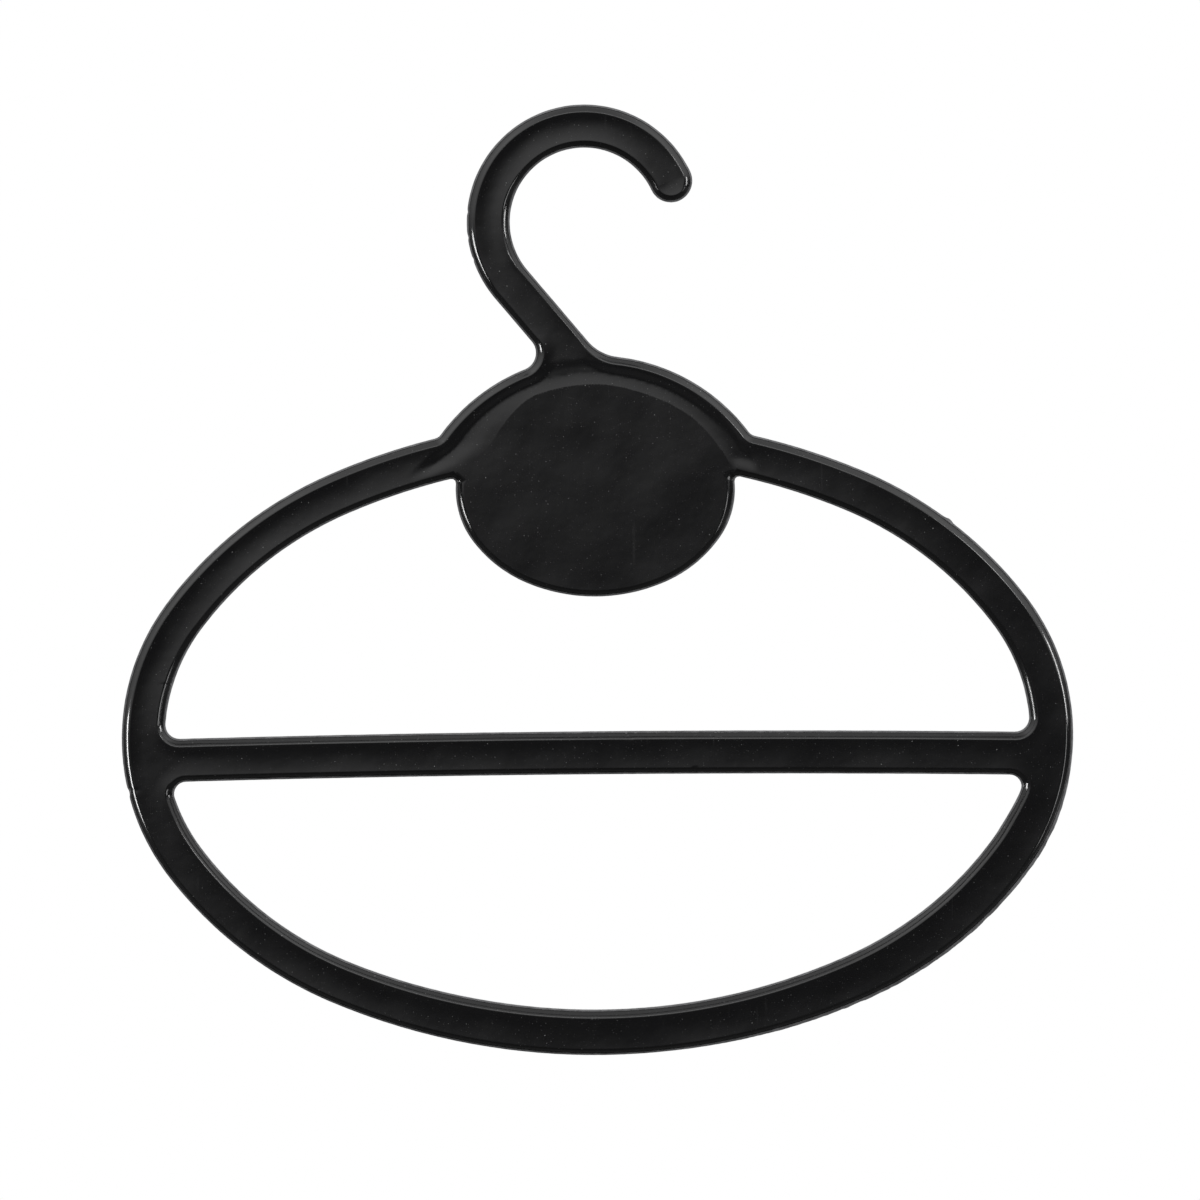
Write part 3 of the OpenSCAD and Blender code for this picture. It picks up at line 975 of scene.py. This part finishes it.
    def triangles(self, xy: np.ndarray, rim: int) -> tuple[np.ndarray, np.ndarray]:
        """Triangulates the points inside the closed boundary of the first rim points.

        Args:
            xy: The boundary's points in order, followed by the ones inside.
            rim: How many points the boundary has.

        Returns:
            The points that are used, with the boundary's first, and the triangles.
        """
        points = [Vector((float(x), float(y))) for x, y in xy]
        _, _, faces, origin, _, _ = delaunay_2d_cdt(points, [], [list(range(rim))], 1, 1e-5)
        if not all(origin):
            raise RuntimeError(f"{self.name}: the boundary crosses itself")
        first = np.array([min(o) for o in origin])
        order = np.argsort(first)
        place = np.empty(len(first), dtype=int)
        place[order] = np.arange(len(first))
        return xy[first[order]], place[np.array([list(f) for f in faces])]

    def solid(
        self, relief: Relief, ripple: Ripple, xy: np.ndarray, tris: np.ndarray, rim: Rim
    ) -> bpy.types.Mesh:
        """Makes the closed mesh: front face, back face and the wall between them."""
        n, edge = len(xy), np.arange(len(rim.points))
        a, b, c = (xy[tris[:, k]] for k in range(3))
        turn = (b - a)[:, 0] * (c - a)[:, 1] - (b - a)[:, 1] * (c - a)[:, 0]
        tris = np.where((turn < 0)[:, None], tris[:, ::-1], tris)
        seen, z = self.moved(relief, ripple, xy, rim), relief.height(xy)
        points = np.concatenate([np.column_stack([seen, z]), np.column_stack([seen, -z])])
        after = np.roll(edge, -1)
        walls = np.column_stack([edge, edge + n, after + n, after])
        faces = [*tris.tolist(), *(tris[:, ::-1] + n).tolist(), *walls.tolist()]
        mesh = bpy.data.meshes.new(self.name + "_skin")
        mesh.from_pydata(to_row(relief.plan, points).tolist(), [], faces)
        mesh.polygons.foreach_set("use_smooth", [True] * len(faces))
        mesh.update()
        mesh.normals_split_custom_set(self.normals(relief, xy, tris, rim).tolist())
        near = mesh.attributes.new("edge_distance", "FLOAT", "POINT")
        near.data.foreach_set("value", np.tile(relief.depth_in(xy), 2).astype(np.float32))
        return mesh

    def moved(self, relief: Relief, ripple: Ripple, xy: np.ndarray, rim: Rim) -> np.ndarray:
        """Returns the points as moulded, with the outline's flaws and the warp.

        Flash stretches the land alone, while a nick pushes in the bevel behind it too.
        """
        behind_flash, behind_nick, on_edge = 0.45, 1.6, 0.03
        n, d, way, warp = len(rim.points), relief.depth_in(xy), relief.outward(xy), Warp()
        way[:n] = np.where((d[:n] > on_edge)[:, None], way[:n], rim.outward())
        amount = ripple.flash(xy)
        end = np.where(amount > 0.0, behind_flash, behind_nick)
        out = xy + way * (amount * (1.0 - smooth(relief.profile.rim_width, end, d)))[:, None]
        out[:, 1] += warp.up(relief.plan, out)
        return out + warp.inwards(relief.plan, xy)

    def normals(self, relief: Relief, xy: np.ndarray, tris: np.ndarray, rim: Rim) -> np.ndarray:
        """Returns a normal for each corner of each face, in the row's axes.

        A corner's normal is taken a little inside its own face, so that creases stay crisp.
        """
        most, step_in = 0.1, 0.006
        middle = xy[tris].mean(axis=1)
        deeper = relief.depth_in(middle)[:, None] - relief.depth_in(xy)[tris]
        pull = np.minimum(most, step_in / np.maximum(np.abs(deeper), 1e-6))[:, :, None]
        at = xy[tris] * (1.0 - pull) + middle[:, None, :] * pull
        up = unit(relief.slope(at.reshape(-1, 2)))
        down = up.reshape(-1, 3, 3)[:, ::-1].reshape(-1, 3) * np.array([1.0, 1.0, -1.0])
        side, flat, free = rim.outward(), rim.sides(), rim.free[:, None]
        here = np.where(free, side, flat)
        there = np.where(free, np.roll(side, -1, axis=0), flat)
        wall = np.stack([here, here, there, there], axis=1).reshape(-1, 2)
        x, y, z = np.concatenate([up, down, np.pad(wall, ((0, 0), (0, 1)))]).T
        return np.stack([x, -z, y], axis=1)


# Finishes


Socket = bpy.types.NodeSocket


class Sheet:
    """A node tree that is filled from left to right."""

    def __init__(self, tree: bpy.types.NodeTree) -> None:
        self.tree = tree
        self.made = 0

    @classmethod
    def over(cls, owner: bpy.types.ID) -> "Sheet":
        """Returns a sheet over the emptied node tree of a material or a world."""
        owner.use_nodes = True
        owner.node_tree.nodes.clear()
        return cls(owner.node_tree)

    def node(self, kind: str, **inputs: object) -> bpy.types.Node:
        """Adds a node and sets its inputs.

        Args:
            kind: The node's type.
            inputs: Values or sockets by input name, with spaces as underscores, or by its
                number after an i. A name that isn't an input is set on the node itself.
        """
        made = self.tree.nodes.new(kind)
        made.location = (180.0 * (self.made % 8), -260.0 * (self.made // 8))
        self.made += 1
        for key, value in inputs.items():
            name = key.replace("_", " ")
            if key[0] == "i" and key[1:].isdigit():
                self.put(made.inputs[int(key[1:])], value)
            elif name in made.inputs:
                self.put(made.inputs[name], value)
            else:
                setattr(made, key, value)
        return made

    def put(self, socket: Socket, value: object) -> None:
        """Links an input to another node's output, or sets its value."""
        if isinstance(value, Socket):
            self.tree.links.new(value, socket)
        else:
            socket.default_value = value

    def math(self, operation: str, a: object, b: object = 0.0, c: object = 0.0) -> Socket:
        """Adds a Math node and returns its result."""
        made = self.node("ShaderNodeMath", i0=a, i1=b, i2=c)
        made.operation = operation
        return made.outputs[0]

    def ramp(self, value: object, low: float, high: float, a: float = 0.0, b: float = 1.0) -> Socket:
        """Maps a value smoothly from one range to another and returns the result."""
        ends = {"From_Min": low, "From_Max": high, "To_Min": a, "To_Max": b}
        made = self.node("ShaderNodeMapRange", Value=value, **ends)
        made.interpolation_type = "SMOOTHSTEP"
        return made.outputs["Result"]

    def noise(self, vector: object, scale: float, detail: float = 2.0, rough: float = 0.5) -> Socket:
        """Adds a noise texture and returns its value."""
        made = self.node("ShaderNodeTexNoise", Vector=vector, Scale=scale, Detail=detail, Roughness=rough)
        return made.outputs[0]

    def mix(self, factor: object, a: object, b: object) -> Socket:
        """Mixes two colours and returns the result."""
        return self.node("ShaderNodeMix", data_type="RGBA", i0=factor, i6=a, i7=b).outputs[2]

    def group(self, effect: "NodeGroup", **inputs: object) -> bpy.types.Node:
        """Adds a shared effect and returns its node."""
        return self.node("ShaderNodeGroup", node_tree=effect.tree(), **inputs)


class NodeGroup:
    """A shared effect as a shader node group, named after its class.

    Attributes:
        inputs: Its inputs by name with their values, or None for a vector.
        outputs: Names of its outputs, which are all floats.
    """

    inputs: dict[str, float | None] = {"Vector": None, "Amount": 1.0}
    outputs: tuple[str, ...] = ("Mask",)

    def tree(self) -> bpy.types.NodeTree:
        """Makes the group's node tree."""
        made = bpy.data.node_groups.new(type(self).__name__, "ShaderNodeTree")
        for name, value in self.inputs.items():
            kind = "NodeSocketVector" if value is None else "NodeSocketFloat"
            socket = made.interface.new_socket(name=name, in_out="INPUT", socket_type=kind)
            if value is not None:
                socket.default_value = value
        for name in self.outputs:
            made.interface.new_socket(name=name, in_out="OUTPUT", socket_type="NodeSocketFloat")
        sheet = Sheet(made)
        start, end = sheet.node("NodeGroupInput"), sheet.node("NodeGroupOutput")
        for name, socket in self.fill(sheet, start).items():
            sheet.put(end.inputs[name], socket)
        return made

    def fill(self, sheet: Sheet, start: bpy.types.Node) -> dict[str, Socket]:
        """Fills the group after its input node and returns what its outputs give."""
        raise NotImplementedError


class MouldSkin(NodeGroup):
    """Long waves of shrinkage and the fine texture of a moulded skin.

    Attributes:
        noises: Scale, detail and roughness of the long waves, the short ones and the grain.
        parts: How much each of them counts in the height.
        glossy: Levels of the short waves between which the gloss changes.
    """

    inputs = {"Vector": None, "Wave": 1.0, "Grain": 1.0}
    outputs = ("Height", "Gloss")
    noises = ((42.0, 1.5, 0.5), (180.0, 2.0, 0.5), (3200.0, 2.0, 0.6))
    parts = (0.5, 0.05, 0.0015)
    glossy = (0.35, 0.65)

    def fill(self, sheet: Sheet, start: bpy.types.Node) -> dict[str, Socket]:
        long, short, grain = (sheet.noise(start.outputs["Vector"], *noise) for noise in self.noises)
        wave = sheet.math("MULTIPLY", long, self.parts[0])
        wave = sheet.math("MULTIPLY_ADD", short, self.parts[1], wave)
        wave = sheet.math("MULTIPLY", wave, start.outputs["Wave"])
        grain = sheet.math("MULTIPLY", grain, self.parts[2])
        grain = sheet.math("MULTIPLY", grain, start.outputs["Grain"])
        return {"Height": sheet.math("ADD", wave, grain), "Gloss": sheet.ramp(short, *self.glossy)}


class Scratches(NodeGroup):
    """Fine hairline scratches from handling.

    Attributes:
        layers: Direction in radians, scale, and scale of the patches, of each layer.
        along: Scale along the scratches, as a share of the one across.
        thin: Levels of the noise between which a line comes up.
        patchy: Levels between which a patch of lines comes up.
    """

    layers = ((0.4, 900.0, 68.0), (1.9, 1300.0, 98.0), (2.7, 700.0, 114.0))
    along = 0.02
    thin = (0.71, 0.75)
    patchy = (0.55, 0.68)

    def fill(self, sheet: Sheet, start: bpy.types.Node) -> dict[str, Socket]:
        total: object = 0.0
        at, size = start.outputs["Vector"], (1.0, 1.0, self.along)
        for turn, scale, patches in self.layers:
            spun = sheet.node("ShaderNodeMapping", Vector=at, Rotation=(0.0, turn, 0.0), Scale=size)
            lines = sheet.ramp(sheet.noise(spun.outputs[0], scale, 1.0), *self.thin)
            patch = sheet.ramp(sheet.noise(at, patches, 1.0), *self.patchy)
            total = sheet.math("MAXIMUM", sheet.math("MULTIPLY", lines, patch), total)
        return {"Mask": sheet.math("MULTIPLY", total, start.outputs["Amount"])}


class Dust(NodeGroup):
    """Sparse pale specks.

    Attributes:
        layers: Scale, size of the specks, share of places without one, and brightness.
        core: Size of a speck's evenly bright middle.
    """

    layers = ((520.0, 0.10, 0.7, 1.0), (900.0, 0.15, 0.5, 0.6), (1700.0, 0.22, 0.4, 0.3))
    core = 0.04

    def fill(self, sheet: Sheet, start: bpy.types.Node) -> dict[str, Socket]:
        total: object = 0.0
        for scale, size, rare, level in self.layers:
            cell = sheet.node("ShaderNodeTexVoronoi", Vector=start.outputs["Vector"], Scale=scale)
            dot = sheet.ramp(cell.outputs["Distance"], self.core, size, 1.0, 0.0)
            pick = sheet.node("ShaderNodeSeparateColor", Color=cell.outputs["Color"])
            some = sheet.ramp(pick.outputs[0], rare, 1.0, 0.0, level)
            total = sheet.math("MAXIMUM", sheet.math("MULTIPLY", dot, some), total)
        return {"Mask": sheet.math("MULTIPLY", total, start.outputs["Amount"])}


class EdgeHighlight(NodeGroup):
    """Mask of the painted highlight on the land at the parting line, from the distance to the outline.

    Attributes:
        patches: Scale, detail and roughness of the patches.
        patchy: Levels of the noise where the painted highlight is weakest and strongest, and how strong
            each is.
    """

    inputs = {"Distance": 5.0, "Vector": None, "Width": 0.4}
    patches = (380.0, 3.0, 0.6)
    patchy = (0.25, 0.75, 0.5, 1.0)

    def fill(self, sheet: Sheet, start: bpy.types.Node) -> dict[str, Socket]:
        # The land near the outline gets a painted highlight, where its flash catches the light, in
        # patches
        near = sheet.math("LESS_THAN", start.outputs["Distance"], start.outputs["Width"])
        patch = sheet.noise(start.outputs["Vector"], *self.patches)
        return {"Mask": sheet.math("MULTIPLY", near, sheet.ramp(patch, *self.patchy))}


@dataclass(frozen=True)
class BlackGloss:
    """Gloss black moulded plastic.

    Attributes:
        base: Colour of the clean plastic.
        edge_highlight_colour: Colour of the painted highlight on the land at the parting line, where its
            flash catches the light.
        dust: Colour of the specks.
        roughness: Roughness of the clean face.
        land_roughness: Roughness of the land at the parting line.
        highlight_width: Width of the land with the painted highlight, in mm.
        dust_cover: How much of the plastic's colour a speck hides.
        uneven: How much rougher the face is in places.
        scratch_roughness: How much rougher it is in a scratch.
        scratch_depth: Depth of a scratch.
        wave: Depth of the shrinkage waves.
        grain: Depth of the fine texture.
        relief: Length of one unit of these depths, in metres.
        ior: Index of refraction.
    """

    base: Colour = (0.0065, 0.0065, 0.0069, 1.0)
    # Pale colour painted on the land at the parting line: a painted highlight where its flash catches the
    # light
    edge_highlight_colour: Colour = (0.19, 0.19, 0.195, 1.0)
    dust: Colour = (0.22, 0.22, 0.22, 1.0)
    roughness: float = 0.12
    land_roughness: float = 0.3
    highlight_width: float = 0.44
    dust_cover: float = 0.8
    uneven: float = 0.035
    scratch_roughness: float = 0.12
    scratch_depth: float = 0.0015
    wave: float = 1.0
    grain: float = 1.0
    relief: float = 0.001
    ior: float = 1.5

    def material(self) -> bpy.types.Material:
        """Returns the material."""
        made = bpy.data.materials.new("black_gloss_plastic")
        sheet = Sheet.over(made)
        at = sheet.node("ShaderNodeTexCoord").outputs["Object"]
        near = sheet.node("ShaderNodeAttribute", attribute_name="edge_distance").outputs["Fac"]
        skin = sheet.group(MouldSkin(), Vector=at, Wave=self.wave, Grain=self.grain).outputs
        edge_highlight_mask = sheet.group(EdgeHighlight(), Distance=near, Vector=at, Width=self.highlight_width).outputs["Mask"]
        marks = sheet.group(Scratches(), Vector=at, Amount=1.0).outputs["Mask"]
        dust = sheet.group(Dust(), Vector=at, Amount=1.0).outputs["Mask"]
        # The land at the parting line is painted paler as a painted highlight of its flash, and made
        # rougher there
        base = sheet.mix(edge_highlight_mask, self.base, self.edge_highlight_colour)
        base = sheet.mix(sheet.math("MULTIPLY", dust, self.dust_cover), base, self.dust)
        rough = sheet.math("MULTIPLY_ADD", skin["Gloss"], self.uneven, self.roughness)
        rough = sheet.math("MULTIPLY_ADD", marks, self.scratch_roughness, rough)
        rougher_land = sheet.math("MULTIPLY", edge_highlight_mask, self.land_roughness - self.roughness)
        rough = sheet.math("ADD", rough, rougher_land)
        height = sheet.math("MULTIPLY_ADD", marks, -self.scratch_depth, skin["Height"])
        bump = sheet.node("ShaderNodeBump", Strength=1.0, Distance=self.relief, Height=height)
        look = {"Base_Color": base, "Roughness": rough, "Normal": bump.outputs[0], "IOR": self.ior}
        shader = sheet.node("ShaderNodeBsdfPrincipled", **look)
        end = sheet.node("ShaderNodeOutputMaterial", Surface=shader.outputs[0])
        end.is_active_output = True
        return made


# The hanger


@dataclass(frozen=True)
class SubAssembly:
    """Members that make up one part of the hanger."""

    name: str
    members: list[Member]

    def build(self, relief: Relief, finish: bpy.types.Material) -> None:
        """Builds each member and gives it its finish."""
        for member in self.members:
            made = member.build(relief, Ripple())
            made.data.materials.append(finish)
        log.info("%s: %d members", self.name, len(self.members))


@dataclass(frozen=True)
class ScarfHanger:
    """The whole hanger: hook, head and ring."""

    plan: HangerPlan = HangerPlan()
    finish: BlackGloss = BlackGloss()

    def parts(self) -> list[SubAssembly]:
        """Returns the hanger's sub-assemblies."""
        p = self.plan
        arm, end = p.stretch(1, p.ring.turn_1, p.ring.turn_2), p.end()
        bow = p.stretch(2, p.ring.turn_2, 180.0 - p.ring.turn_2)
        low_arm = flipped(arm, over_x=False)
        head = {"shoulder": p.shoulder(), "label_plate": p.label_plate()}
        ring = {
            "upper_right_arm": arm,
            "upper_left_arm": flipped(arm, over_x=True),
            "right_end": end,
            "left_end": flipped(end, over_x=True),
            "crossbar": p.crossbar(),
            "lower_right_arm": low_arm,
            "lower_left_arm": flipped(low_arm, over_x=True),
            "lower_bow": flipped(bow, over_x=False),
        }
        return [
            SubAssembly("hook", [Member("hook", p.hook())]),
            SubAssembly("head", [Member(name, walk, on_head=True) for name, walk in head.items()]),
            SubAssembly("ring", [Member(name, walk) for name, walk in ring.items()]),
        ]

    def build(self) -> None:
        """Builds every sub-assembly over the CAD frame."""
        parts = self.parts()
        curves = [c for part in parts for m in part.members for c in m.boundary]
        relief = Relief(self.plan, [c for c in curves if c.edge is Edge.FREE])
        finish = self.finish.material()
        for part in parts:
            part.build(relief, finish)


# Studio


@dataclass(frozen=True)
class SoftBox:
    """A rectangular lamp.

    Attributes:
        name: The lamp's name.
        place: Where it stands, in metres.
        size: Its width and height, in metres.
        power: Its power in watts.
    """

    name: str
    place: tuple[float, float, float]
    size: tuple[float, float]
    power: float

    def build(self, target: Vector) -> None:
        """Makes the lamp and turns it to the target."""
        data = bpy.data.lights.new(self.name, "AREA")
        data.shape = "RECTANGLE"
        data.size, data.size_y = self.size
        data.energy = self.power
        lamp = add(self.name, data)
        lamp.location = self.place
        lamp.rotation_euler = (target - lamp.location).to_track_quat("-Z", "Y").to_euler()


@dataclass(frozen=True)
class Studio:
    """Camera, light, floor and background.

    A height in the room is the z of the way to it, from -1 below to 1 above, a side is its x
    and a depth its y.

    Attributes:
        middle: The picture's middle in x and z, in mm.
        width: Its width in metres.
        distance: The camera's distance in metres.
        sensor: Width of its sensor in mm.
        roll: Its roll in degrees.
        floor_drop: How far the floor lies below the middle, in metres.
        floor_half: Half the floor's width in metres.
        floor_tones: The floor's colour in reflections, and to the camera.
        floor_roughness: Its roughness.
        room: Light straight below.
        dusk: Light of the lower room.
        dusk_heights: Heights over which the one turns into the other.
        fade: Share of it that is left further up.
        fade_heights: Heights over which it fades.
        sky: Light of the upper room.
        low: Height at which that light starts.
        high: Height at which it is full.
        lean: How much higher they are on the right, for each unit of the side.
        lean_end: Side at which they rise no further.
        glow: Light added high up.
        glow_heights: Heights over which it comes up.
        crown: Share of the light that is left straight above.
        crown_heights: Heights over which it turns to that share.
        back: Share of it that is left towards the back.
        back_depths: Depths over which it turns to that share.
        behind: Depths over which the room turns white behind.
        lamps: The lamps.
    """

    middle: Span = (3.13, -94.53)
    width: float = 0.300
    distance: float = 1.5
    sensor: float = 36.0
    roll: float = 0.5
    floor_drop: float = 0.9
    floor_half: float = 2.0
    floor_tones: tuple[Colour, Colour] = ((0.04, 0.04, 0.04, 1.0), (0.85, 0.85, 0.85, 1.0))
    floor_roughness: float = 0.9
    room: float = 0.02
    dusk: float = 0.14
    dusk_heights: Span = (-0.95, -0.5)
    fade: float = 0.2
    fade_heights: Span = (-0.32, -0.12)
    sky: float = 1.0
    low: float = -0.11
    high: float = 0.36
    lean: float = 0.6
    lean_end: float = 0.15
    glow: float = 0.55
    glow_heights: Span = (0.22, 0.8)
    crown: float = 0.52
    crown_heights: Span = (0.78, 1.0)
    back: float = 0.45
    back_depths: Span = (-0.1, 0.5)
    behind: Span = (0.5, 0.75)
    lamps: tuple[SoftBox, ...] = (
        SoftBox("top_softbox", (0.1, -0.9, 0.85), (0.8, 0.25), 1.6),
        SoftBox("upper_right_softbox", (0.85, -0.9, 0.55), (0.35, 0.25), 3.6),
        SoftBox("lower_right_softbox", (0.95, -0.27, -0.35), (0.35, 0.50), 2.5),
        SoftBox("left_softbox", (-1.0, 0.10, -0.25), (0.10, 0.47), 3.6),
        SoftBox("right_softbox", (1.0, 0.10, 0.09), (0.08, 0.36), 1.6),
    )

    def build(self) -> None:
        """Makes the studio."""
        scene = bpy.context.scene
        scene.view_settings.view_transform = "Standard"
        target = Vector((self.middle[0] / 1000.0, 0.0, self.middle[1] / 1000.0))
        self.camera(target)
        self.world()
        self.floor(target)
        for lamp in self.lamps:
            lamp.build(target)
        log.info("studio: %d lamps", len(self.lamps))

    def camera(self, target: Vector) -> None:
        """Makes the camera in front of the hanger, rolled as in the photograph."""
        data = bpy.data.cameras.new("camera")
        data.sensor_width = self.sensor
        data.lens = self.sensor * self.distance / self.width
        made = add("camera", data)
        made.location = target + Vector((0.0, -self.distance, 0.0))
        made.rotation_euler = (math.radians(90.0), math.radians(self.roll), 0.0)
        bpy.context.scene.camera = made

    def world(self) -> None:
        """Makes a background that is white to the camera and a softly lit room to the rest.

        The room is dark below and on the right, brightest above, and white behind.
        """
        made = bpy.data.worlds.new("studio")
        bpy.context.scene.world = made
        sheet = Sheet.over(made)
        seen = sheet.node("ShaderNodeLightPath").outputs["Is Camera Ray"]
        way = sheet.node("ShaderNodeTexCoord").outputs["Generated"]
        x, y, z = sheet.node("ShaderNodeSeparateXYZ", Vector=way).outputs
        side = sheet.math("MAXIMUM", sheet.math("MINIMUM", x, self.lean_end), -self.lean_end)
        tilted = sheet.math("MULTIPLY_ADD", side, -self.lean, z)
        up = sheet.ramp(tilted, self.low, self.high, 0.0, self.sky)
        up = sheet.math("ADD", up, sheet.ramp(z, *self.glow_heights, 0.0, self.glow))
        crown = sheet.ramp(z, *self.crown_heights, 1.0, self.crown)
        back = sheet.ramp(y, *self.back_depths, 1.0, self.back)
        light = sheet.math("MULTIPLY", sheet.math("MULTIPLY", up, crown), back)
        dim = sheet.ramp(z, *self.dusk_heights, self.room, self.dusk)
        dim = sheet.math("MULTIPLY", dim, sheet.ramp(z, *self.fade_heights, 1.0, self.fade))
        light = sheet.math("MAXIMUM", sheet.math("ADD", light, dim), sheet.ramp(y, *self.behind))
        room = sheet.node("ShaderNodeBackground", Color=(1.0, 1.0, 1.0, 1.0), Strength=light)
        white = sheet.node("ShaderNodeBackground", Color=(1.0, 1.0, 1.0, 1.0), Strength=1.0)
        both = sheet.node("ShaderNodeMixShader", i0=seen, i1=room.outputs[0], i2=white.outputs[0])
        sheet.node("ShaderNodeOutputWorld", Surface=both.outputs[0])

    def floor(self, target: Vector) -> None:
        """Makes the pale floor, well below the hanging object."""
        mesh, s = bpy.data.meshes.new("floor"), self.floor_half
        mesh.from_pydata([(-s, -s, 0), (s, -s, 0), (s, s, 0), (-s, s, 0)], [], [(0, 1, 2, 3)])
        made = add("floor", mesh)
        made.location = (0.0, 0.0, target.z - self.floor_drop)
        paint = bpy.data.materials.new("floor_paint")
        sheet = Sheet.over(paint)
        seen = sheet.node("ShaderNodeLightPath").outputs["Is Camera Ray"]
        tone = sheet.mix(seen, *self.floor_tones)
        shader = sheet.node("ShaderNodeBsdfPrincipled", Base_Color=tone, Roughness=self.floor_roughness)
        sheet.node("ShaderNodeOutputMaterial", Surface=shader.outputs[0])
        mesh.materials.append(paint)


def main() -> None:
    """Builds the hanger and the studio."""
    logging.basicConfig(level=logging.INFO, format="%(message)s")
    ScarfHanger().build()
    Studio().build()


if __name__ == "__main__":
    main()
